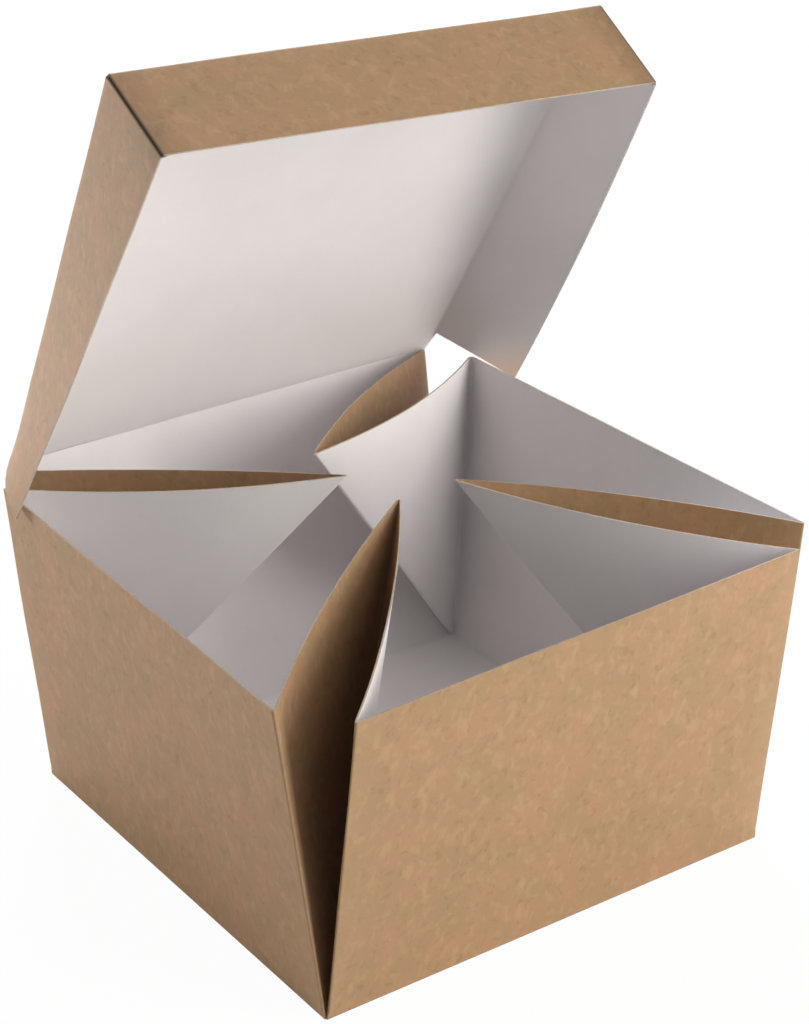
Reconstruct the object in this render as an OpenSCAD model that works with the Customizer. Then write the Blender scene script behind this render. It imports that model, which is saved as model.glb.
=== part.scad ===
// Folding takeaway box of kraft card: a tray with bellows corners and a hinged lid with lips
// The origin is the centre of the base's underside, +Z is up, and the hinge lies along the back wall

/* [Box] */
// Width of the base, side to side
base_width = 160; // [140:1:240]
// Depth of the base, front to back
base_depth = 160; // [140:1:240]
// Height of a wall, measured up its slope
wall_height = 105.6; // [60:0.2:110]
// Thickness of the card
card = 0.5; // [0.4:0.05:0.7]

/* [Wall lean] */
// Outward lean of the front wall at its left end, in degrees
front_lean_left = 9; // [5:0.1:11]
// Outward lean of the front wall at its right end, in degrees
front_lean_right = 6.2; // [5:0.1:11]
// Outward lean of the back wall, in degrees
back_lean = 8.6; // [7:0.1:10]
// Outward lean of the left wall at its front end, in degrees
left_lean_front = 7.5; // [5:0.1:9]
// Outward lean of the left wall at its back end, in degrees
left_lean_back = 5.2; // [3:0.1:6]
// Outward lean of the right wall at its front end, in degrees
right_lean_front = 6.7; // [5:0.1:9]
// Outward lean of the right wall at its back end, in degrees
right_lean_back = 3.9; // [3:0.1:6]

/* [Bellows corners] */
// Turn of the front left webs' tip away from the corner's diagonal, in degrees
turn_front_left = -3.5; // [-6:0.5:6]
// Turn of the front right webs' tip, in degrees
turn_front_right = 0; // [-6:0.5:6]
// Turn of the back left webs' tip, in degrees
turn_back_left = 2; // [-6:0.5:6]
// Turn of the back right webs' tip, in degrees
turn_back_right = -16.5; // [-18:0.5:0]
// Rise of the fold from the base's front left corner to its webs' tip, in degrees
rise_front_left = 52.7; // [48:0.1:55]
// Rise of the fold from the front right corner, in degrees
rise_front_right = 50.7; // [48:0.1:55]
// Rise of the fold from the back left corner, in degrees
rise_back_left = 49; // [47:0.1:55]
// Rise of the fold from the back right corner, in degrees
rise_back_right = 48.6; // [47:0.1:55]
// Bow of each web's top edge away from its partner
web_bow = 4.6; // [1:0.1:6]

/* [Lid] */
// Angle at which the lid stands open, measured from closed
lid_open = 60; // [56:0.5:75]
// How much further the lid's left edge stands open than its right edge, in degrees
lid_twist = 4; // [0:0.5:5]
// Width of the lid beyond the base's width
lid_extra_width = 2.6; // [2.2:0.1:4]
// Depth of the lid beyond the base's depth
lid_extra_depth = 5; // [2:0.5:8]
// Height of the lid's lips
lip_height = 31.5; // [20:0.5:36]
// Splay of the side lips at their hinge ends, in degrees
lip_splay = 28.5; // [26:0.5:32]
// How far the side lips' hinge ends are cut back at the free edge
lip_cut = 11; // [6:0.5:14]
// Length of the glued tabs behind the front lip
tab_length = 24; // [15:1:40]

/* [Hidden] */

// Clear air kept between the lid and the tray
gap = 0.35;
// Steps along a wall, along a web's top edge and along a side lip
wall_steps = 6;
web_steps = 8;
lip_steps = 14;
// Height up a wall's end at which its web's even rows start, above a fan from the base's corner
web_foot = 12 * card;
// How far each web stands from the middle of its corner, so that the two never cross
web_offset = 0.9 * card;
// Air between the front lip and the tab that is glued behind it
glue_gap = 0.1;
// Distance of the tab's ends from the lip's fold and free edge, and the slant of those ends
tab_margin = 1.5;
tab_slant = 5;
// How far along the lip the bulge over a side wall's corner dies out
bulge_reach = 60;

half_w = base_width / 2;
half_d = base_depth / 2;
base_mid = card / 2;
lid_half = half_w + lid_extra_width / 2;
lid_depth = base_depth + lid_extra_depth;
lid_start = card / 2 + gap;
tab_along = lid_depth - card - glue_gap;
hinge_y = half_d + wall_height * sin(back_lean);
hinge_z = base_mid + wall_height * cos(back_lean);

kraft = [0.72, 0.57, 0.40];

function unit(v) = v / norm(v);

function total(list, i = 0) = i == len(list) - 1 ? list[i] : list[i] + total(list, i + 1);

// Folded sheet: its middle surface is a list of points and of patches of triangles, one for each
// flat or gently curved panel

// Direction and distance, for unit thickness, from a point on the middle surface to the face: out
// of one patch, to where the faces of two patches meet, or to where those of the first three do
function rise(n) = len(n) == 1 ? n[0]
    : len(n) == 2 ? (n[0] + n[1]) / (1 + n[0] * n[1])
    : (cross(n[0], n[1]) + cross(n[1], n[2]) + cross(n[2], n[0])) / (n[0] * cross(n[1], n[2]));

function normal_of(points, t) = unit(cross(points[t[1]] - points[t[0]], points[t[2]] - points[t[0]]));

module folded_sheet(points, patches) {
    count = len(points);
    triangles = [for (p = patches) for (t = p) t];
    normals = [for (p = patches) [for (t = p) normal_of(points, t)]];
    rises = [for (i = [0:count - 1]) rise([for (k = [0:len(patches) - 1])
        let (own = [for (j = [0:len(patches[k]) - 1])
            if (patches[k][j][0] == i || patches[k][j][1] == i || patches[k][j][2] == i) normals[k][j]])
        if (len(own) > 0) unit(total(own))])];
    edges = [for (t = triangles) for (e = [[t[0], t[1]], [t[1], t[2]], [t[2], t[0]]]) e];
    ids = [for (e = edges) e[0] * count + e[1]];
    rim = [for (e = edges) if (len(search(e[1] * count + e[0], ids)) == 0) e];
    polyhedron(
        [for (side = [1, -1]) for (i = [0:count - 1]) points[i] + rises[i] * side * card / 2],
        concat(
            [for (t = triangles) [t[2], t[1], t[0]]],
            [for (t = triangles) [t[0] + count, t[1] + count, t[2] + count]],
            [for (e = rim) each [[e[0] + count, e[0], e[1]], [e[1] + count, e[0] + count, e[1]]]]),
        convexity = 6);
}

// Triangles between two rows of point numbers, seen with the first row below and running rightwards
function strip(low, high) = [for (j = [0:len(low) - 2])
    each [[low[j], low[j + 1], high[j + 1]], [low[j], high[j + 1], high[j]]]];

function backwards(row) = [for (j = [len(row) - 1:-1:0]) row[j]];

// Base corners in the middle of the card, counter-clockwise from the front left
corners = [[-half_w, -half_d, base_mid], [half_w, -half_d, base_mid],
    [half_w, half_d, base_mid], [-half_w, half_d, base_mid]];

// Each wall starts at the corner of the same number: the way it runs, the way it leans,
// and its lean at its start and at its end
wall_runs = [[1, 0, 0], [0, 1, 0], [-1, 0, 0], [0, -1, 0]];
wall_leans = [[0, -1, 0], [1, 0, 0], [0, 1, 0], [-1, 0, 0]];
lean_start = [front_lean_left, right_lean_front, back_lean, left_lean_back];
lean_end = [front_lean_right, right_lean_back, back_lean, left_lean_front];
web_turns = [turn_front_left, turn_front_right, turn_back_right, turn_back_left];
web_rises = [rise_front_left, rise_front_right, rise_back_right, rise_back_left];

// Unit vector up the slope of a wall
function slope(w, lean) = wall_leans[w] * sin(lean) + [0, 0, cos(lean)];

// The two ends of a corner's webs: side 0 is on the wall that starts there, side 1 on the one before
function side_wall(i, side) = side == 0 ? i : (i + 3) % 4;
function side_lean(i, side) = side == 0 ? lean_start[i] : lean_end[side_wall(i, 1)];
function side_slope(i, side) = slope(side_wall(i, side), side_lean(i, side));
function side_shift(i, side) = (side == 0 ? 1 : -1) * wall_runs[side_wall(i, side)] * web_offset;

// The fold between a corner's two webs is the diagonal of a square of card as high as the wall
function tip(i) = let (heading = atan2(-corners[i].y, -corners[i].x) + web_turns[i])
    wall_height * sqrt(2)
    * [cos(web_rises[i]) * cos(heading), cos(web_rises[i]) * sin(heading), sin(web_rises[i])];

// One row of a web, from its wall to the diagonal fold, at a share of the way up
function web_row(i, side, share) = let (
    top = wall_height * side_slope(i, side),
    partner = wall_height * side_slope(i, 1 - side),
    across = unit(cross(top, tip(i))),
    out = across * (partner - top) > 0 ? -across : across)
    [for (j = [0:web_steps]) let (t = j / web_steps) corners[i] + side_shift(i, side)
        + share * (top + (tip(i) - top) * t + out * web_bow * 4 * t * (1 - t))];

// One row of a wall, from its start to its end, at a height up its slope
function wall_row(w, up) = let (
    a = corners[w] + side_shift(w, 0) + up * side_slope(w, 0),
    b = corners[(w + 1) % 4] + side_shift((w + 1) % 4, 1) + up * side_slope((w + 1) % 4, 1))
    [for (j = [0:wall_steps]) a + (b - a) * j / wall_steps];

// Numbers of the tray's points: first the webs' rows, then the walls', then the base's middle
web_len = web_steps + 1;
wall_len = wall_steps + 1;
first_wall = 16 * web_len;
first_inner = first_wall + 4 * wall_len;
base_id = first_inner + 8 * (wall_steps - 1);
function web_ids(i, side, row) = [for (j = [0:web_steps]) ((i * 2 + side) * 2 + row) * web_len + j];
function foot_ids(w) = [for (j = [0:wall_steps]) first_wall + w * wall_len + j];
function wall_ids(w, row) = [for (j = [0:wall_steps])
    j == 0 ? web_ids(w, 0, row)[0]
    : j == wall_steps ? web_ids((w + 1) % 4, 1, row)[0]
    : first_inner + (w * 2 + row) * (wall_steps - 1) + j - 1];

tray_points = concat(
    [for (i = [0:3]) for (side = [0, 1]) for (share = [web_foot / wall_height, 1])
        each web_row(i, side, share)],
    [for (w = [0:3]) each wall_row(w, 0)],
    [for (w = [0:3]) for (up = [web_foot, wall_height]) let (row = wall_row(w, up))
        for (j = [1:wall_steps - 1]) row[j]],
    [[0, 0, base_mid]]);

base_patch = [for (w = [0:3]) let (foot = foot_ids(w), next = foot_ids((w + 1) % 4))
    each concat([for (j = [0:wall_steps - 1]) [base_id, foot[j], foot[j + 1]]],
        [[base_id, foot[wall_steps], next[0]]])];

function wall_patch(w) = concat(
    strip(backwards(foot_ids(w)), backwards(wall_ids(w, 0))),
    strip(backwards(wall_ids(w, 0)), backwards(wall_ids(w, 1))));

// Triangles between one point and a row above it, seen with the row running rightwards
function fan(low, high) = [for (j = [0:len(high) - 2]) [low, high[j + 1], high[j]]];

// The point of the base where a corner's web on one side starts
function start_id(i, side) = side == 0 ? foot_ids(i)[0] : foot_ids((i + 3) % 4)[wall_steps];

function web_patch(i, side) = let (
    low = web_ids(i, side, 0),
    high = web_ids(i, side, 1),
    right_low = side == 0 ? low : backwards(low),
    right_high = side == 0 ? high : backwards(high))
    concat(fan(start_id(i, side), right_low), strip(right_low, right_high));

// Narrow band along the diagonal fold
function fold_patch(i) = let (lines = [for (side = [0, 1])
        [start_id(i, side), web_ids(i, side, 0)[web_steps], web_ids(i, side, 1)[web_steps]]])
    [for (r = [0, 1]) each strip([lines[0][r], lines[1][r]], [lines[0][r + 1], lines[1][r + 1]])];

module tray() {
    color(kraft) folded_sheet(tray_points, concat(
        [base_patch],
        [for (w = [0:3]) wall_patch(w)],
        [for (i = [0:3]) for (side = [0, 1]) web_patch(i, side)],
        [for (i = [0:3]) fold_patch(i)]));
}

// Angle at which the lid's own card stands open at a distance from its middle
function open_at(x) = lid_open - lid_twist / 2 * x / lid_half;

// Where the top back corner of a side wall lies in the lid's own frame: along the lid and below it
corner_back = hinge_y - half_d;
function corner_drop(lean) = hinge_z - base_mid - wall_height * cos(lean);
function corner_along(side, lean) = let (turned = open_at(side * lid_half))
    corner_back * cos(turned) - corner_drop(lean) * sin(turned);
function corner_below(side, lean) = let (turned = open_at(side * lid_half))
    corner_back * sin(turned) + corner_drop(lean) * cos(turned);

// Splay of a side lip at a distance along the lid
function splay_at(along) = lip_splay * (1 - along / lid_depth);

// Share of the bulge at a distance along the lid and down the lip
function bulge_share(along, down) =
    pow(max(0, 1 - along / bulge_reach), 2) * sin(180 * down / lip_height);

// Bulge that takes a side's lip clear of the top back corner of a wall with a given lean
function bulge_for(side, lean) = let (
    along = corner_along(side, lean),
    wanted = half_w + wall_height * sin(lean) + card + gap * 1.5 - lid_half,
    splayed = corner_below(side, lean) * tan(splay_at(along)),
    down = corner_below(side, lean) / cos(splay_at(along)))
    max(0, wanted - splayed) / bulge_share(along, down);

// Distances down a side lip: the fold, the tab's start, and even steps to the free edge
downs = [0, tab_margin, lip_height / 4, lip_height / 2, lip_height * 3 / 4, lip_height];
lip_rows = len(downs);
lip_len = lip_steps + 1;

// One row of a side lip, from the hinge to the front corner; steps are shorter near the hinge
function lip_row(side, bulge, down) = let (start = lid_start + lip_cut * down / lip_height)
    [for (j = [0:lip_steps]) let (
        along = start + (tab_along - start) * pow(j / lip_steps, 1.3),
        a = splay_at(along))
        [side * (lid_half + down * sin(a) + bulge * bulge_share(along, down)), -along, -down * cos(a)]];

// The tab's free end, beside the lip's rows from the tab's start down
function tab_end(side) = [for (r = [1:lip_rows - 1]) let (t = (r - 1) / (lip_rows - 2))
    [side * (lid_half - tab_length), -tab_along,
        -(tab_margin + tab_slant) * (1 - t) - (lip_height - tab_slant) * t]];

// Numbers of the lid's points: both side lips' rows, both tabs' ends, then the front lip
side_ids = [0, lip_rows * lip_len + lip_rows - 1];
function lip_ids(s, r) = [for (j = [0:lip_steps]) side_ids[s] + r * lip_len + j];
function tab_fold_ids(s) = [for (r = [1:lip_rows - 1]) side_ids[s] + r * lip_len + lip_steps];
function tab_end_ids(s) = [for (r = [0:lip_rows - 2]) side_ids[s] + lip_rows * lip_len + r];
front_id = 2 * side_ids[1];
front_top = [front_id, front_id + 1];
front_low = [front_id + 2, front_id + 3];

closed_points = concat(
    [for (side = [-1, 1]) let (bulge = bulge_for(side, side < 0 ? left_lean_back : right_lean_back))
        each concat([for (down = downs) each lip_row(side, bulge, down)], tab_end(side))],
    [for (down = [0, lip_height]) for (side = [-1, 1]) [side * lid_half, -lid_depth, -down]]);

// Each point swings open about the hinge, the left edge a little further than the right
lid_points = [for (p = closed_points) let (turned = open_at(p.x))
    [p.x, hinge_y + p.y * cos(turned) + p.z * sin(turned),
        hinge_z - p.y * sin(turned) + p.z * cos(turned)]];

// The panel's outside is up: across it run the points of both side folds, then the front fold
left_edge = concat(lip_ids(0, 0), [front_top[0]]);
right_edge = concat(lip_ids(1, 0), [front_top[1]]);

module lid() {
    color(kraft) folded_sheet(lid_points, [
        strip(left_edge, right_edge),
        strip(front_low, front_top),
        [for (r = [0:lip_rows - 2]) each strip(lip_ids(0, r + 1), lip_ids(0, r))],
        [for (r = [0:lip_rows - 2]) each strip(backwards(lip_ids(1, r + 1)), backwards(lip_ids(1, r)))],
        strip(backwards(tab_end_ids(0)), backwards(tab_fold_ids(0))),
        strip(tab_end_ids(1), tab_fold_ids(1))]);
}

tray();
lid();
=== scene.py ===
# %% [markdown]
# # A takeaway box folded from one sheet of kraft card
# The real box is a single die-cut sheet, brown outside and coated white inside. Four walls
# rise from a square base, a pair of webs folds inwards at each corner like a bellows, and a
# lid with three lips turns on the fold along the back wall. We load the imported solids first,
# because every piece below has to lie where they lie and move as they move.

# %% Load the frame
import math
import bpy
import bmesh
from mathutils import Matrix, Vector, geometry, noise


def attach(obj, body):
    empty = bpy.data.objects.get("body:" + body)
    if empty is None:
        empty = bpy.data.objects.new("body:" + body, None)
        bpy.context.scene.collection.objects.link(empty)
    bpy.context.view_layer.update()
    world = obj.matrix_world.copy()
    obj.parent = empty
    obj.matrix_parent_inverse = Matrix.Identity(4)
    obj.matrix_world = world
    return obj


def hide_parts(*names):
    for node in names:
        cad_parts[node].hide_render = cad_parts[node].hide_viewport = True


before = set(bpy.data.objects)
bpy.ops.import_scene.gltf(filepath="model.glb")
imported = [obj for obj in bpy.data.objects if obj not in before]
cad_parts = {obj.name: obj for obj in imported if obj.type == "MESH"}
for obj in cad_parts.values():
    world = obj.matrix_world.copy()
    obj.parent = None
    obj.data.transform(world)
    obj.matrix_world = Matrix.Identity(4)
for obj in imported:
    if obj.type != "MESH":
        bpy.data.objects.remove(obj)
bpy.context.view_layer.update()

# %% Helper: put an object into the scene
def add_object(name, data):
    body = bpy.data.objects.new(name, data)
    bpy.context.scene.collection.objects.link(body)
    return body


# %% [markdown]
# ## Camera
# The photograph looks down on the front left corner through a long lens. A long lens keeps
# the box's uprights nearly parallel, so the focal length matters as much as the angle. We
# turn the camera by an exact matrix made of its own right, up and back directions.

# %% Camera
AZIMUTH, ELEVATION, ROLL = -35.03, 26.19, -0.27
FOCAL_LENGTH = 93.18
CAMERA_PLACE = (-0.40661, -0.58533, 0.45407)

azimuth, elevation, roll = (math.radians(angle) for angle in (AZIMUTH, ELEVATION, ROLL))
ahead = Vector((-math.sin(azimuth) * math.cos(elevation),
                math.cos(azimuth) * math.cos(elevation), -math.sin(elevation)))
level_right = ahead.cross(Vector((0, 0, 1))).normalized()
level_up = level_right.cross(ahead)
right = math.cos(roll) * level_right + math.sin(roll) * level_up
up = math.cos(roll) * level_up - math.sin(roll) * level_right

camera = add_object("camera", bpy.data.cameras.new("camera"))
camera.data.lens = FOCAL_LENGTH
camera.data.clip_start, camera.data.clip_end = 0.05, 50
turn = Matrix((right, up, -ahead)).transposed().to_4x4()
camera.matrix_world = Matrix.Translation(CAMERA_PLACE) @ turn
bpy.context.scene.camera = camera
print("camera", [round(c, 3) for c in camera.location], "lens", camera.data.lens)

# %% [markdown]
# ## Sizes
# Card is bought by its thickness, and a box by its base and height, so these come first. All
# lengths in this file are in millimetres until a finished sheet is scaled to metres. The
# walls lean outwards, each end by its own angle, because someone has just opened the box.
# Corners are numbered round from the front left, and each wall starts at its own corner.

# %% Sizes of the box
MM = 0.001
CARD = 0.5
BASE = 160.0
WALL = 105.6
BASE_MID = CARD / 2
FOLD_RADIUS = 0.8
# Distance from a corner of the base to the foot of each web beside it
WEB_OFFSET = 0.45
CORNERS = [Vector((x * BASE / 2, y * BASE / 2, BASE_MID))
           for x, y in ((-1, -1), (1, -1), (1, 1), (-1, 1))]
RUNS = [Vector(v) for v in ((1, 0, 0), (0, 1, 0), (-1, 0, 0), (0, -1, 0))]
OUTWARD = [Vector(v) for v in ((0, -1, 0), (1, 0, 0), (0, 1, 0), (-1, 0, 0))]
# Degrees by which each wall leans outwards where it starts and where it ends
LEAN_START = [9.0, 6.7, 8.6, 5.2]
LEAN_END = [6.2, 3.9, 8.6, 7.5]
print("walls of", WALL, "mm on a base of", BASE, "mm, in card of", CARD, "mm")

# %% [markdown]
# ## The walls and webs as one ring
# The four walls and eight webs form a closed ring of card round the base. Cut the box level
# and you see that ring as a line: along a wall, sharply back along a web, round the diagonal
# fold, out along the next web, and on along the next wall. A helper gives that line at any
# share of the way up, and the sheet is then drawn upwards from one line to the next. Each
# web is part of a cone whose point is the base's corner, which is how real card bends.

# %% Directions up the slope of each wall's ends
# Degrees by which each corner's diagonal fold turns from the box's middle, and its rise
WEB_TURN = [-3.5, 0.0, -16.5, 2.0]
WEB_RISE = [52.7, 50.7, 48.6, 49.0]
# Bow of the web on the wall that starts at a corner, and of the one on the wall before
WEB_BOW = [(3.4, 3.4), (4.7, 4.4), (4.5, 5.4), (5.6, 3.0)]
# Share by which a web is cut lower beside its wall, reached at this part of its top edge
WEB_DIP = {(3, 1): 0.023}
DIP_REACH = 0.08


def slope(wall, lean):
    lean = math.radians(lean)
    return OUTWARD[wall] * math.sin(lean) + Vector((0, 0, math.cos(lean)))


def side_wall(corner, side):
    """Side 0 of a corner is the wall that starts there, side 1 is the wall that ends there."""
    return corner if side == 0 else (corner + 3) % 4


def side_slope(corner, side):
    wall = side_wall(corner, side)
    return slope(wall, LEAN_START[wall] if side == 0 else LEAN_END[wall])


def side_start(corner, side):
    away = RUNS[side_wall(corner, side)] * (WEB_OFFSET if side == 0 else -WEB_OFFSET)
    return CORNERS[corner] + away


def diagonal(corner):
    heading = math.atan2(-CORNERS[corner].y, -CORNERS[corner].x) + math.radians(WEB_TURN[corner])
    rise = math.radians(WEB_RISE[corner])
    level = Vector((math.cos(heading), math.sin(heading), 0))
    return WALL * math.sqrt(2) * (level * math.cos(rise) + Vector((0, 0, math.sin(rise))))


print("web tips:", [[round(c) for c in CORNERS[i] + diagonal(i)] for i in range(4)])

# %% One point of a web
def web_point(corner, side, share, part):
    """The point a share of the way up, and part of the way from the wall to the diagonal."""
    top, tip = WALL * side_slope(corner, side), diagonal(corner)
    share *= 1 - WEB_DIP.get((corner, side), 0) * (1 - part) * min(1, part / DIP_REACH)
    across = top.cross(tip).normalized()
    if across.dot(WALL * side_slope(corner, 1 - side) - top) > 0:
        across.negate()
    bow = WEB_BOW[corner][side] * 4 * part * (1 - part)
    return side_start(corner, side) + share * (top.lerp(tip, part) + across * bow)


def web_length(corner, side, share):
    return share * (diagonal(corner) - WALL * side_slope(corner, side)).length


print("a web's top edge is", round(web_length(0, 0, 1)), "mm long")

# %% [markdown]
# ## Rounded folds
# Scored card doesn't fold to a knife edge: it turns in a curve about as wide as the card is
# thick. That curve catches the light along every fold, so each sharp turn of the line is
# swapped for a short curve through the same place. Near the base's corners the card is
# pressed flat, and there the curve shrinks with the web.

# %% Curves for the folds
WEB_STEPS = 12
WALL_STEPS = 16
FOLD_STEPS = 6
PINCH_STEPS = 8
# A fold takes up no more than this share of its web
FOLD_LIMIT = 0.28
# The fold between the right wall and its web at the back has sprung open and is rounder
SOFT_FOLD = {(2, 1): 2.2}


def fold_curve(start, middle, end, steps):
    points = []
    for k in range(steps + 1):
        t = k / steps
        points.append(start * (1 - t) ** 2 + middle * 2 * t * (1 - t) + end * t ** 2)
    return points


def round_fold(start, first, second, end, steps):
    points = []
    for k in range(steps + 1):
        t = k / steps
        points.append(start * (1 - t) ** 3 + first * 3 * t * (1 - t) ** 2
                      + second * 3 * t ** 2 * (1 - t) + end * t ** 3)
    return points


# %% The line round the box at one share of the way up
def corner_line(corner, share):
    """Points from one wall's end, along both webs, to the next wall's start, with fold marks."""
    near, far, tips = [], [], []
    for side in (1, 0):
        length = max(web_length(corner, side, share), 1e-6)
        reach = min(SOFT_FOLD.get((corner, side), FOLD_RADIUS), FOLD_LIMIT * length)
        part = reach / length
        pinched = min(part, FOLD_RADIUS / length)
        top = web_point(corner, side, share, 0)
        on_wall = top + RUNS[side_wall(corner, side)] * (-reach if side else reach)
        on_web = web_point(corner, side, share, part)
        near.append(fold_curve(on_wall, top, on_web, FOLD_STEPS))
        far.append([web_point(corner, side, share, part + (1 - part - pinched) * k / WEB_STEPS)
                    for k in range(1, WEB_STEPS + 1)])
        tips.append(web_point(corner, side, share, 1))
    pinch = round_fold(far[0][-1], tips[0], tips[1], far[1][-1], PINCH_STEPS)
    line, marks = [], []
    for points, mark in ((near[0], 1), (far[0][:-1], 0), (pinch, 1),
                         (far[1][:-1][::-1], 0), (near[1][::-1], 1)):
        line += points
        marks += [mark] * len(points)
    return line, marks


def ring(share):
    line, marks = [], []
    for corner in range(4):
        points, folds = corner_line(corner, share)
        following = corner_line((corner + 1) % 4, share)[0][0]
        line += points
        marks += folds
        line += [points[-1].lerp(following, k / WALL_STEPS) for k in range(1, WALL_STEPS)]
        marks += [0] * (WALL_STEPS - 1)
    return line, marks


print("points in one ring:", len(ring(1)[0]))

# %% [markdown]
# ## Drawing the sheet upwards
# bmesh can extrude a row of edges and leave the new row where the old one was. Each point
# carries its number in an integer layer, and an extruded point keeps that number, so it can
# be sent to its own place on the next line. The same helper draws the tray and the lid.

# %% Helper: draw a sheet from line to line
def draw_sheet(lines, closed):
    sheet = bmesh.new()
    place = sheet.verts.layers.int.new("place")
    fold = sheet.verts.layers.float.new("fold")
    points, marks = lines[0]
    row = [sheet.verts.new(p) for p in points]
    for number, vert in enumerate(row):
        vert[place], vert[fold] = number, marks[number]
    pairs = list(zip(row, row[1:])) + ([(row[-1], row[0])] if closed else [])
    edges = [sheet.edges.new(pair) for pair in pairs]
    for points, marks in lines[1:]:
        edges = extend_sheet(sheet, edges, points, marks)
    return sheet, edges


def extend_sheet(sheet, edges, points, marks):
    place, fold = sheet.verts.layers.int["place"], sheet.verts.layers.float["fold"]
    made = bmesh.ops.extrude_edge_only(sheet, edges=edges)["geom"]
    fresh = {v for v in made if isinstance(v, bmesh.types.BMVert)}
    for vert in fresh:
        vert.co = points[vert[place]]
        vert[fold] = marks[vert[place]]
    return [e for e in made if isinstance(e, bmesh.types.BMEdge)
            and e.verts[0] in fresh and e.verts[1] in fresh]


# %% Lines of the tray, from the fold round the base to the top edge
HEIGHTS = [0.012, 0.03, 0.055, 0.09, 0.13, 0.18, 0.24, 0.3, 0.37, 0.44, 0.51, 0.58, 0.65,
           0.72, 0.79, 0.86, 0.92, 0.965, 1.0]
FOOT_SHARE = 1e-4
FOOT_STEPS = 4
# The higher this power, the squarer the curve round the base turns at a corner
SQUARENESS = 60


def foot_lines():
    """The curve from the flat base into the walls."""
    at_base, _ = ring(FOOT_SHARE)
    above, _ = ring(FOLD_RADIUS / WALL)
    curves = []
    for foot, high in zip(at_base, above):
        side = max(abs(foot.x), abs(foot.y))
        inward = [-math.copysign(min(1, abs(c) / side) ** SQUARENESS, c) for c in foot.xy]
        start = foot + Vector((*inward, 0)) * FOLD_RADIUS
        curves.append(fold_curve(start, foot, high, FOOT_STEPS))
    return [([curve[k] for curve in curves], [1] * len(curves)) for k in range(FOOT_STEPS + 1)]


tray_lines = foot_lines() + [ring(share) for share in HEIGHTS]
tray_sheet, _ = draw_sheet(tray_lines, closed=True)
base_rim = [e for e in tray_sheet.edges if e.is_boundary and max(v.co.z for v in e.verts) < 1]
bmesh.ops.contextual_create(tray_sheet, geom=base_rim)
print("tray sheet:", len(tray_sheet.faces), "faces")

# %% [markdown]
# ## The lid
# The lid is a flat panel with a lip on three sides. The side lips splay outwards towards the
# hinge, where they have just slid over the side walls, and bulge over the walls' top edges.
# They start a little way in front of the hinge. The front lip covers a tab at the end of each.
# The lid is drawn shut and each point then swings open, the left edge a little further than
# the right, because the open lid is slightly twisted. Where the two sides of the lid differ,
# -1 stands for the left and 1 for the right.

# %% Sizes of the lid
LID_HALF = BASE / 2 + 0.3
# How far the folds with the side lips draw in at the hinge
LID_TAPER = {-1: 2.0, 1: 0.0}
LID_DEPTH = BASE + 4.7
LID_START = CARD / 2 + 0.2
LIP = 31.4
LIP_SPLAY = {-1: 29.0, 1: 33.0}
# How far past the panel's hinge edge a side lip starts, and how much further at its free edge
LIP_NOTCH, LIP_CUT = 8.6, 2.4
# Length of the glued tabs, and how far their long edges slope in towards the free end
TAB, TAB_SLANT = 24.0, 5.0
TAB_ALONG = LID_DEPTH - CARD - 0.1
# The front lip is this much shorter than the lid at each end
SEAM = 0.4
LID_OPEN, LID_TWIST = 59.4, 3.7
BACK_LEAN = math.radians(LEAN_START[2])
HINGE = Vector((0, BASE / 2 + WALL * math.sin(BACK_LEAN), BASE_MID + WALL * math.cos(BACK_LEAN)))
print("hinge at", [round(c, 2) for c in HINGE])

# %% From the shut lid to the open one
def open_at(x):
    return math.radians(LID_OPEN - LID_TWIST / 2 * x / LID_HALF)


def swing(x, along, down):
    turned = open_at(x)
    return Vector((x, HINGE.y - along * math.cos(turned) - down * math.sin(turned),
                   HINGE.z + along * math.sin(turned) - down * math.cos(turned)))


def edge_at(side, along):
    """How far from the middle the lid's fold with a side lip lies."""
    return LID_HALF - LID_TAPER[side] * (1 - along / LID_DEPTH)


def splay_at(side, along):
    return math.radians(LIP_SPLAY[side] * (1 - along / LID_DEPTH))


def lip_start(down):
    return LID_START + LIP_NOTCH + LIP_CUT * down / LIP


# %% Bulge of the side lips
BULGE_REACH = 60.0
# The wall's top edge is checked for this far from its back end, a millimetre at a time
EDGE_CHECKED = 22
# The edge counts behind this upper share of a lip, and up to this far past the lip's cut end
BULGE_LIMIT, START_SLACK = 0.85, 0.4
# Room beyond a card's thickness between the lip and the wall, from sheet to sheet
CLEARANCE = 0.45


def bulge_share(along, down):
    return max(0, 1 - along / BULGE_REACH) ** 2 * math.sin(math.pi * down / LIP)


def bulge_for(side):
    """Bulge that takes a side lip clear of the top edge of the wall that it has slid over."""
    back, front = (3, 0) if side < 0 else (2, 1)
    high = CORNERS[back] + WALL * side_slope(back, 0 if side < 0 else 1)
    low = CORNERS[front] + WALL * side_slope(front, 1 if side < 0 else 0)
    most = 0
    for k in range(EDGE_CHECKED):
        point = high.lerp(low, k / BASE)
        turned = open_at(point.x)
        away, drop = HINGE.y - point.y, HINGE.z - point.z
        along = away * math.cos(turned) - drop * math.sin(turned)
        below = away * math.sin(turned) + drop * math.cos(turned)
        down = below / math.cos(splay_at(side, along))
        if down < BULGE_LIMIT * LIP and along > lip_start(down) - START_SLACK:
            clear = abs(point.x) + CARD + CLEARANCE - edge_at(side, along)
            missing = clear - below * math.tan(splay_at(side, along))
            most = max(most, missing / bulge_share(along, down))
    return most


BULGE = {-1: bulge_for(-1), 1: bulge_for(1)}
print("the side lips bulge by", {side: round(b, 1) for side, b in BULGE.items()}, "mm")

# %% One line across the lid, from one side lip's free edge to the other's
LIP_DOWNS = [LIP, 29, 26, 22, 18, 14, 10, 6, 3, FOLD_RADIUS]
PANEL_PARTS = [0.004] + [k / 16 for k in range(1, 16)] + [0.996]
LID_STEPS = 22
# Lines lie closer together near the hinge, where the lips bend most
LINE_POWER = 1.2


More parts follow.
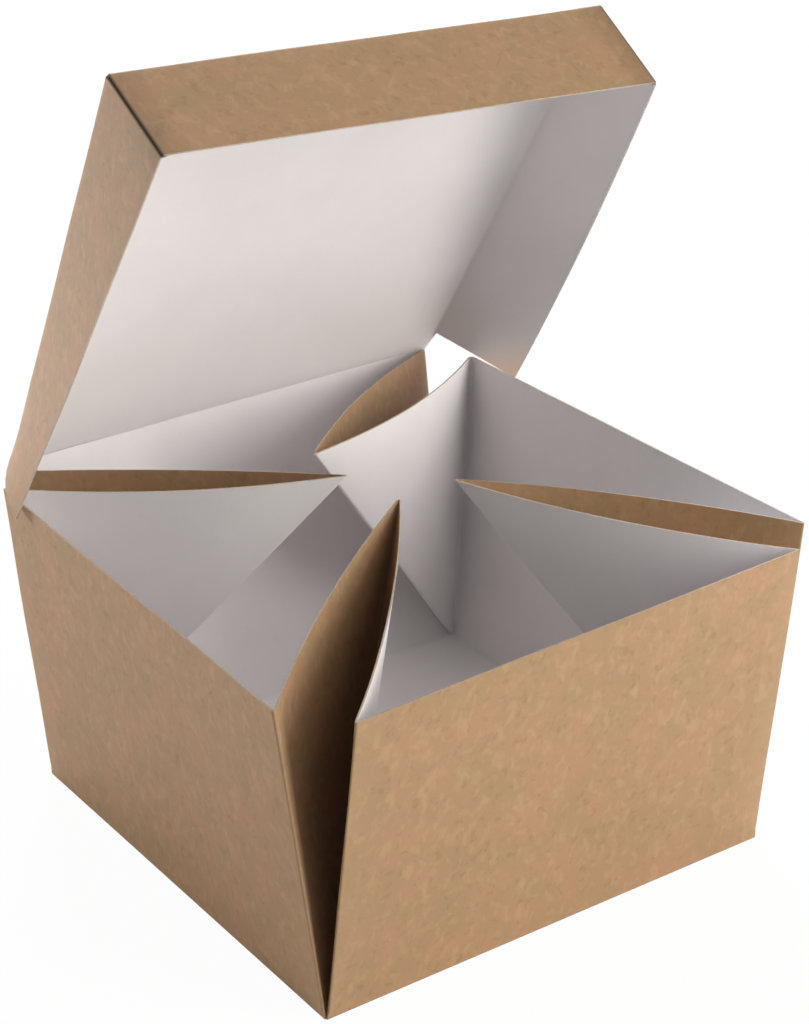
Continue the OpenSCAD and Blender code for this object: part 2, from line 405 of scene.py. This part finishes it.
def lip_place(side, t, down):
    along = lip_start(down) + (TAB_ALONG - FOLD_RADIUS - lip_start(down)) * t ** LINE_POWER
    splay = splay_at(side, along)
    out = edge_at(side, along) + down * math.sin(splay) + BULGE[side] * bulge_share(along, down)
    return Vector((side * out, along, down * math.cos(splay)))


def panel_place(side, inward, t):
    along = LID_START + (LID_DEPTH - FOLD_RADIUS - LID_START) * t ** LINE_POWER
    return Vector((side * (edge_at(side, along) - inward), along, 0))


def half_line(side, t):
    places = [lip_place(side, t, down) for down in LIP_DOWNS]
    edge = panel_place(side, 0, t)
    inner = panel_place(side, FOLD_RADIUS, t)
    corner = Vector((edge.x, (edge.y + places[-1].y) / 2, 0))
    curve = fold_curve(places[-1], corner, inner, FOLD_STEPS)
    return places[:-1] + curve, [0] * (len(places) - 1) + [1] * len(curve)


def lid_line(t):
    left, left_marks = half_line(-1, t)
    right, right_marks = half_line(1, t)
    middle = [left[-1].lerp(right[-1], part) for part in PANEL_PARTS]
    places = left + middle + right[::-1]
    return [swing(*p) for p in places], left_marks + [0] * len(middle) + right_marks[::-1]


lid_lines = [lid_line(k / LID_STEPS) for k in range(LID_STEPS + 1)]
lid_sheet, front_edges = draw_sheet(lid_lines, closed=False)
print("lid sheet:", len(lid_sheet.faces), "faces,", len(front_edges), "edges at its front")

# %% [markdown]
# ## Front lip and glued tabs
# The front lip folds down from the panel's front edge only. The side lips end just behind it
# and go on as tabs, which the glue holds flat against its back. Both are the same sheet,
# drawn on from a part of the lid's last line, so the card keeps its white and brown sides.

# %% Draw on from part of the lid's front edge
FRONT_DOWNS = (3, 7, 11, 15, 19, 23, 27, LIP)
place_layer = lid_sheet.verts.layers.int["place"]
lip_count = len(LIP_DOWNS) - 1 + FOLD_STEPS
last = len(lid_lines[0][0]) - 1
front_x = {v[place_layer]: v.co.x for e in front_edges for v in e.verts}


def draw_on(first_place, last_place, where):
    edges = [e for e in front_edges
             if all(first_place <= v[place_layer] <= last_place for v in e.verts)]
    for points, mark in where:
        edges = extend_sheet(lid_sheet, edges, points, {n: mark for n in points})
    return len(edges)


def front_lines():
    """Rows of points, each with its fold mark: round the fold first and then down the lip."""
    lines = []
    panel = range(lip_count, last - lip_count + 1)
    full = (LID_HALF - SEAM) / (LID_HALF - FOLD_RADIUS)
    for k in range(1, FOLD_STEPS + 1):
        t = k / FOLD_STEPS
        along = LID_DEPTH - FOLD_RADIUS * (1 - t) ** 2
        wide = 1 + (full - 1) * t
        lines.append(({n: swing(wide * front_x[n], along, FOLD_RADIUS * t ** 2)
                       for n in panel}, 1))
    for down in FRONT_DOWNS:
        lines.append(({n: swing(full * front_x[n], LID_DEPTH, down) for n in panel}, 0))
    return lines


print("front lip:", draw_on(lip_count, last - lip_count, front_lines()), "edges long")

# %% The two tabs
TAB_STEPS = 5


def tab_lines(side):
    lines = []
    numbers = range(len(LIP_DOWNS)) if side < 0 else range(last, last - len(LIP_DOWNS), -1)
    for k in range(1, FOLD_STEPS + 1):
        t = k / FOLD_STEPS
        x = side * (LID_HALF - FOLD_RADIUS * t ** 2)
        along = TAB_ALONG - FOLD_RADIUS * (1 - t) ** 2
        lines.append(({n: swing(x, along, down) for n, down in zip(numbers, LIP_DOWNS)}, 1))
    for k in range(1, TAB_STEPS + 1):
        x = side * (LID_HALF - FOLD_RADIUS - (TAB - FOLD_RADIUS) * k / TAB_STEPS)
        row = {}
        for n, down in zip(numbers, LIP_DOWNS):
            slant = (TAB_SLANT - down / LIP * (2 * TAB_SLANT)) * k / TAB_STEPS
            row[n] = swing(x, TAB_ALONG, down + slant)
        lines.append((row, 0))
    return lines


print("tabs:", draw_on(0, len(LIP_DOWNS) - 1, tab_lines(-1)),
      draw_on(last - len(LIP_DOWNS) + 1, last, tab_lines(1)), "edges each")

# %% Mark the glued corners with painted shade, for the shadow in the narrow gap between the front lip and the side lips
# The seam's middle lies this far in front of the tabs
SEAM_AHEAD = 0.35
# The painted shade ends at this distance from there, and fades over the last part of it
SEAM_EDGE, SEAM_FADE = 0.85, 0.5

# Each point's share of the painted shade at the glued corners
seam_shade_layer = lid_sheet.verts.layers.float.new("seam_shade")
for side in (-1, 1):
    high, low = (swing(side * (LID_HALF - SEAM), TAB_ALONG + SEAM_AHEAD, down)
                 for down in (0, LIP))
    for vert in lid_sheet.verts:
        nearest = geometry.intersect_point_line(vert.co, high, low)[0]
        shade = (SEAM_EDGE - (vert.co - nearest).length) / SEAM_FADE
        vert[seam_shade_layer] = max(vert[seam_shade_layer], min(1, shade))
print("seam marked on", sum(v[seam_shade_layer] > 0 for v in lid_sheet.verts), "points")

# %% [markdown]
# ## Card finishes
# Kraft board is unbleached wood pulp: tan, with soft blotches that drift between a greener
# and a pinker brown, fine darker flecks and pale fibres. Its inside carries a thin white clay
# coat, which is smoother and slightly cool. A cut edge shows the pale grey core. The colours
# come from noise in Object coordinates, so they need no image and don't slide on the sheet.

# %% Helpers for the finishes
BUMP_DEPTH = 0.0002


def new_finish(name):
    finish = bpy.data.materials.new(name)
    finish.use_nodes = True
    nodes, links = finish.node_tree.nodes, finish.node_tree.links
    where = nodes.new("ShaderNodeTexCoord")
    return finish, nodes, links, nodes["Principled BSDF"], where.outputs["Object"]


def grain(nodes, links, where, scale, detail, roughness=0.6, stretch=None, distortion=0.0):
    """A noise pattern whose features are about 1/scale metres across."""
    if stretch:
        mapping = nodes.new("ShaderNodeMapping")
        mapping.inputs["Scale"].default_value = stretch
        links.new(where, mapping.inputs["Vector"])
        where = mapping.outputs["Vector"]
    pattern = nodes.new("ShaderNodeTexNoise")
    pattern.inputs["Scale"].default_value = scale
    pattern.inputs["Detail"].default_value = detail
    pattern.inputs["Roughness"].default_value = roughness
    pattern.inputs["Distortion"].default_value = distortion
    links.new(where, pattern.inputs["Vector"])
    return pattern.outputs["Fac"]


def between(nodes, links, value, low, high):
    """Stretches a value so that low becomes 0 and high becomes 1."""
    node = nodes.new("ShaderNodeMapRange")
    node.inputs["From Min"].default_value = low
    node.inputs["From Max"].default_value = high
    links.new(value, node.inputs["Value"])
    return node.outputs["Result"]


def blend_colour(nodes, links, amount, first, second):
    mix = nodes.new("ShaderNodeMix")
    mix.data_type = "RGBA"
    for value, socket in ((amount, mix.inputs[0]), (first, mix.inputs[6]), (second, mix.inputs[7])):
        if isinstance(value, bpy.types.NodeSocket):
            links.new(value, socket)
        else:
            socket.default_value = value
    return mix.outputs[2]


def times(nodes, links, value, factor):
    node = nodes.new("ShaderNodeMath")
    node.operation = "MULTIPLY"
    links.new(value, node.inputs[0])
    node.inputs[1].default_value = factor
    return node.outputs[0]


def blend_mark(nodes, links, mark, strength, colour, marked):
    """Blends a colour in where the sheet carries a mark, such as a fold or the painted shade at a
    glued corner.
    """
    reader = nodes.new("ShaderNodeAttribute")
    reader.attribute_name = mark
    amount = times(nodes, links, reader.outputs["Fac"], strength)
    return blend_colour(nodes, links, amount, colour, marked)


def set_surface(links, surface, colour, roughness, specular):
    links.new(colour, surface.inputs["Base Color"])
    surface.inputs["Roughness"].default_value = roughness
    surface.inputs["Specular IOR Level"].default_value = specular


def bump(nodes, links, surface, height, strength):
    node = nodes.new("ShaderNodeBump")
    node.inputs["Strength"].default_value = strength
    node.inputs["Distance"].default_value = BUMP_DEPTH
    links.new(height, node.inputs["Height"])
    links.new(node.outputs["Normal"], surface.inputs["Normal"])


# %% Brown outside of the card
GREENER_BROWN = (0.352, 0.230, 0.119, 1)
PINKER_BROWN = (0.401, 0.233, 0.130, 1)
CLOUD_BROWN = (0.308, 0.192, 0.100, 1)
FLECK_BROWN = (0.193, 0.120, 0.055, 1)
FIBRE_TAN = (0.473, 0.319, 0.176, 1)
FOLD_TAN = (0.430, 0.293, 0.160, 1)
# Painted shade: a near-black brown for the shadow in the gap at the glued corners
PAINTED_SEAM_SHADE = (0.045, 0.025, 0.012, 1)
FIBRE_STRETCH = (1.25, 1.25, 0.85)


def kraft_finish():
    finish, nodes, links, surface, where = new_finish("kraft_outside")
    blotch = between(nodes, links, grain(nodes, links, where, scale=75, detail=3), 0.38, 0.62)
    colour = blend_colour(nodes, links, blotch, GREENER_BROWN, PINKER_BROWN)
    cloud = between(nodes, links, grain(nodes, links, where, scale=16, detail=2), 0.35, 0.65)
    colour = blend_colour(nodes, links, times(nodes, links, cloud, 0.15), colour, CLOUD_BROWN)
    spots = grain(nodes, links, where, scale=330, detail=2, distortion=0.5)
    fleck = between(nodes, links, spots, 0.56, 0.70)
    colour = blend_colour(nodes, links, times(nodes, links, fleck, 0.27), colour, FLECK_BROWN)
    threads = grain(nodes, links, where, scale=260, detail=2, roughness=0.55,
                    stretch=FIBRE_STRETCH, distortion=0.6)
    fibre = between(nodes, links, threads, 0.50, 0.70)
    colour = blend_colour(nodes, links, times(nodes, links, fibre, 0.42), colour, FIBRE_TAN)
    colour = blend_mark(nodes, links, "fold", 0.28, colour, FOLD_TAN)
    # Painted shade darkens the glued corners, where the gap between the lips lies in shadow
    colour = blend_mark(nodes, links, "seam_shade", 0.85, colour, PAINTED_SEAM_SHADE)
    set_surface(links, surface, colour, roughness=0.65, specular=0.38)
    bump(nodes, links, surface, grain(nodes, links, where, scale=600, detail=2), strength=0.22)
    return finish


# %% White inside and the cut edge
COAT_LOW, COAT_HIGH = (0.790, 0.765, 0.765, 1), (0.830, 0.805, 0.805, 1)
SPECK_GREY = (0.50, 0.47, 0.45, 1)
FOLD_GREY = (0.60, 0.575, 0.575, 1)
CORE_LOW, CORE_HIGH = (0.44, 0.35, 0.27, 1), (0.60, 0.51, 0.42, 1)


def coated_finish():
    finish, nodes, links, surface, where = new_finish("coated_inside")
    cloud = between(nodes, links, grain(nodes, links, where, scale=30, detail=3), 0.3, 0.7)
    colour = blend_colour(nodes, links, cloud, COAT_LOW, COAT_HIGH)
    speck = between(nodes, links, grain(nodes, links, where, scale=900, detail=3), 0.60, 0.75)
    colour = blend_colour(nodes, links, times(nodes, links, speck, 0.10), colour, SPECK_GREY)
    colour = blend_mark(nodes, links, "fold", 0.08, colour, FOLD_GREY)
    set_surface(links, surface, colour, roughness=0.62, specular=0.35)
    bump(nodes, links, surface, grain(nodes, links, where, scale=420, detail=4), strength=0.12)
    return finish


def edge_finish():
    finish, nodes, links, surface, where = new_finish("cut_edge")
    fibre = between(nodes, links, grain(nodes, links, where, scale=1500, detail=4), 0.35, 0.7)
    colour = blend_colour(nodes, links, fibre, CORE_LOW, CORE_HIGH)
    # Painted shade darkens the cut edges at the glued corners too, where the gap lies in shadow
    colour = blend_mark(nodes, links, "seam_shade", 0.9, colour, PAINTED_SEAM_SHADE)
    set_surface(links, surface, colour, roughness=0.9, specular=0.2)
    return finish


kraft, coated, cut_edge = kraft_finish(), coated_finish(), edge_finish()
print("finishes:", [m.name for m in (kraft, coated, cut_edge)])

# %% [markdown]
# ## From a drawn sheet to card
# A drawn sheet has no thickness yet. First it gets the faint unevenness that card has once it
# has been folded and handled: a slow noise moves each point a fraction of a millimetre, less
# and less towards the table and the hinge, where pieces meet. Then the Solidify modifier
# gives it its thickness, half to each side, with one finish outside, one inside and one on
# the cut edges. It is applied, so the piece holds the real mesh.

# %% Helper: turn a sheet into a piece of card
UNEVENNESS, WAVE = 0.35, 45
# It is left out below this height, and grows over these distances from there and the hinge
STILL_HEIGHT, TABLE_FADE, HINGE_FADE = 4, 30, 20
SHARP_ANGLE = 50


def settle_order(sheet):
    """Extruding leaves edges and faces in a chance order, so they are put in a fixed one."""
    sheet.verts.index_update()
    for parts in (sheet.edges, sheet.faces):
        parts.sort(key=lambda part: (min(v.index for v in part.verts) * len(sheet.verts)
                                     + max(v.index for v in part.verts)))


def make_card(sheet, name, looks_out):
    """looks_out gives a face's centre and returns the way its brown side faces there."""
    settle_order(sheet)
    bmesh.ops.recalc_face_normals(sheet, faces=sheet.faces)
    sheet.normal_update()
    votes = sum(1 if f.normal.dot(looks_out(f.calc_center_median())) > 0 else -1
                for f in sheet.faces)
    if votes < 0:
        bmesh.ops.reverse_faces(sheet, faces=sheet.faces)
    sheet.normal_update()
    for vert in sheet.verts:
        to_hinge = math.hypot(vert.co.y - HINGE.y, vert.co.z - HINGE.z)
        free = min(1, max(0, vert.co.z - STILL_HEIGHT) / TABLE_FADE, to_hinge / HINGE_FADE)
        vert.co += vert.normal * UNEVENNESS * free * noise.noise(vert.co / WAVE)
    bmesh.ops.scale(sheet, vec=(MM, MM, MM), verts=sheet.verts)
    for face in sheet.faces:
        face.smooth = True
    flat = bpy.data.meshes.new(name + "_flat")
    sheet.to_mesh(flat)
    sheet.free()
    piece = add_object(name, flat)
    for finish in (kraft, coated, cut_edge):
        flat.materials.append(finish)
    thick = piece.modifiers.new("thickness", "SOLIDIFY")
    thick.thickness, thick.offset = CARD * MM, 0
    thick.material_offset, thick.material_offset_rim = 1, 2
    return apply_modifiers(piece)


def apply_modifiers(piece):
    evaluated = piece.evaluated_get(bpy.context.evaluated_depsgraph_get())
    mesh = bpy.data.meshes.new_from_object(evaluated)
    piece.modifiers.clear()
    piece.data = mesh
    mesh.set_sharp_from_angle(angle=math.radians(SHARP_ANGLE))
    print(piece.name, "has", len(mesh.polygons), "faces")
    return piece


# %% Tray of card
def tray_outside(centre):
    if centre.z < 1:
        return Vector((0, 0, -1))
    if abs(centre.x) > abs(centre.y):
        return Vector((math.copysign(1, centre.x), 0, 0))
    return Vector((0, math.copysign(1, centre.y), 0))


tray_card = make_card(tray_sheet, "tray_card", tray_outside)
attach(tray_card, "tray")
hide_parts("tray")

# %% Lid of card
def lid_outside(centre):
    return Vector((0, math.sin(math.radians(LID_OPEN)), math.cos(math.radians(LID_OPEN))))


lid_card = make_card(lid_sheet, "lid_card", lid_outside)
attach(lid_card, "lid")
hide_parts("lid")

# %% [markdown]
# ## The fold at the hinge
# Tray and lid are two bodies so that the lid can turn, but on the real box the card runs
# through from one to the other. A slim round bead along the hinge line stands for that fold.
# It is centred on the line that the lid turns about, so it looks the same at every angle.

# %% Bead along the hinge line
BEAD_RADIUS = 0.34
BEAD_SIDES = 16
BEAD_LENGTH = BASE - 4
# The bead sits a little to the right, as the lid's left fold draws in at the hinge
BEAD_SHIFT = Vector((1, 0, 0))

bead = bmesh.new()
bmesh.ops.create_cone(bead, cap_ends=True, cap_tris=False, segments=BEAD_SIDES,
                      radius1=BEAD_RADIUS, radius2=BEAD_RADIUS, depth=BEAD_LENGTH)
bmesh.ops.rotate(bead, verts=bead.verts, cent=(0, 0, 0),
                 matrix=Matrix.Rotation(math.radians(90), 3, "Y"))
bmesh.ops.translate(bead, verts=bead.verts, vec=HINGE + BEAD_SHIFT)
bmesh.ops.scale(bead, verts=bead.verts, vec=(MM, MM, MM))
for face in bead.faces:
    face.smooth = len(face.verts) == 4
    face.material_index = 0 if face.normal.y > 0.1 else 1
bead_mesh = bpy.data.meshes.new("hinge_fold")
bead.to_mesh(bead_mesh)
bead.free()
bead_mesh.materials.append(kraft)
bead_mesh.materials.append(coated)
hinge_fold = add_object("hinge_fold", bead_mesh)
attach(hinge_fold, "tray")
print("hinge fold:", len(bead_mesh.polygons), "faces")

# %% [markdown]
# ## Floor and light
# The box is lit as in a studio. Three soft lamps stand one above another to the front right as
# one tall key light, two more light the back, and a weak even surround fills the shade. The
# floor is close to white, and for the camera's own rays most of it glows white, so the
# background is clean while the box keeps a trace of its shadow.

# %% Floor
FLOOR_SIZE = 12
FLOOR_LOW, FLOOR_HIGH = (0.87, 0.87, 0.87, 1), (0.90, 0.90, 0.90, 1)
# Share of the floor's look that is plain white, for the camera's own rays only
FLOOR_WHITE = 0.97

floor_mesh = bpy.data.meshes.new("floor")
floor_shape = bmesh.new()
bmesh.ops.create_grid(floor_shape, x_segments=1, y_segments=1, size=FLOOR_SIZE)
floor_shape.to_mesh(floor_mesh)
floor_shape.free()
floor = add_object("floor", floor_mesh)


def floor_finish():
    finish, nodes, links, surface, where = new_finish("floor_paper")
    cloud = grain(nodes, links, where, scale=3, detail=2)
    tint = blend_colour(nodes, links, cloud, FLOOR_LOW, FLOOR_HIGH)
    set_surface(links, surface, tint, roughness=0.9, specular=0.0)
    white = nodes.new("ShaderNodeEmission")
    rays = nodes.new("ShaderNodeLightPath")
    mix = nodes.new("ShaderNodeMixShader")
    links.new(times(nodes, links, rays.outputs["Is Camera Ray"], FLOOR_WHITE), mix.inputs[0])
    links.new(surface.outputs[0], mix.inputs[1])
    links.new(white.outputs[0], mix.inputs[2])
    links.new(mix.outputs[0], nodes["Material Output"].inputs["Surface"])
    return finish


floor.data.materials.append(floor_finish())

# %% Surround
# The camera sees the surround at full strength, reflections a good part of it, and the rest
# only as much as fills the shade
SURROUND_FILL = 0.15
SURROUND_GLOSS = 0.3
SURROUND_COLOUR = (0.97, 0.98, 1.0, 1)


def light_surround():
    world = bpy.data.worlds.new("surround")
    bpy.context.scene.world = world
    world.use_nodes = True
    nodes, links = world.node_tree.nodes, world.node_tree.links
    rays = nodes.new("ShaderNodeLightPath")
    gloss = times(nodes, links, rays.outputs["Is Glossy Ray"], SURROUND_GLOSS)
    seen = nodes.new("ShaderNodeMath")
    seen.operation = "MAXIMUM"
    links.new(rays.outputs["Is Camera Ray"], seen.inputs[0])
    links.new(gloss, seen.inputs[1])
    level = nodes.new("ShaderNodeMapRange")
    links.new(seen.outputs[0], level.inputs["Value"])
    level.inputs["To Min"].default_value = SURROUND_FILL
    links.new(level.outputs["Result"], nodes["Background"].inputs["Strength"])
    nodes["Background"].inputs["Color"].default_value = SURROUND_COLOUR


light_surround()

# %% Lamps
LAMP_AIM = Vector((0, 0, 0.09))
LAMP_DISTANCE = 1.7
LAMP_SIZE = 0.8
# Degrees round from the front towards the right, degrees above level, power and colour
LAMPS = {"key_low": (30, 8, 15.4, (1.0, 0.97, 0.90)),
         "key_middle": (30, 30, 11.5, (1.0, 0.97, 0.95)),
         "key_high": (30, 55, 5.2, (1.0, 0.96, 0.90)),
         "back_right": (150, 30, 32, (0.95, 0.93, 1.0)),
         "back_left": (210, 8, 22.8, (1.0, 0.98, 0.975))}


def soft_lamp(name, around, above, power, colour):
    around, above = math.radians(around), math.radians(above)
    away = Vector((math.sin(around) * math.cos(above), -math.cos(around) * math.cos(above),
                   math.sin(above)))
    lamp = bpy.data.lights.new(name, "AREA")
    lamp.shape, lamp.size, lamp.energy, lamp.color = "DISK", LAMP_SIZE, power, colour
    body = add_object(name, lamp)
    body.location = LAMP_AIM + away * LAMP_DISTANCE
    body.rotation_euler = (-away).to_track_quat("-Z", "Y").to_euler()


for name, values in LAMPS.items():
    soft_lamp(name, *values)
bpy.context.scene.view_settings.view_transform = "Standard"
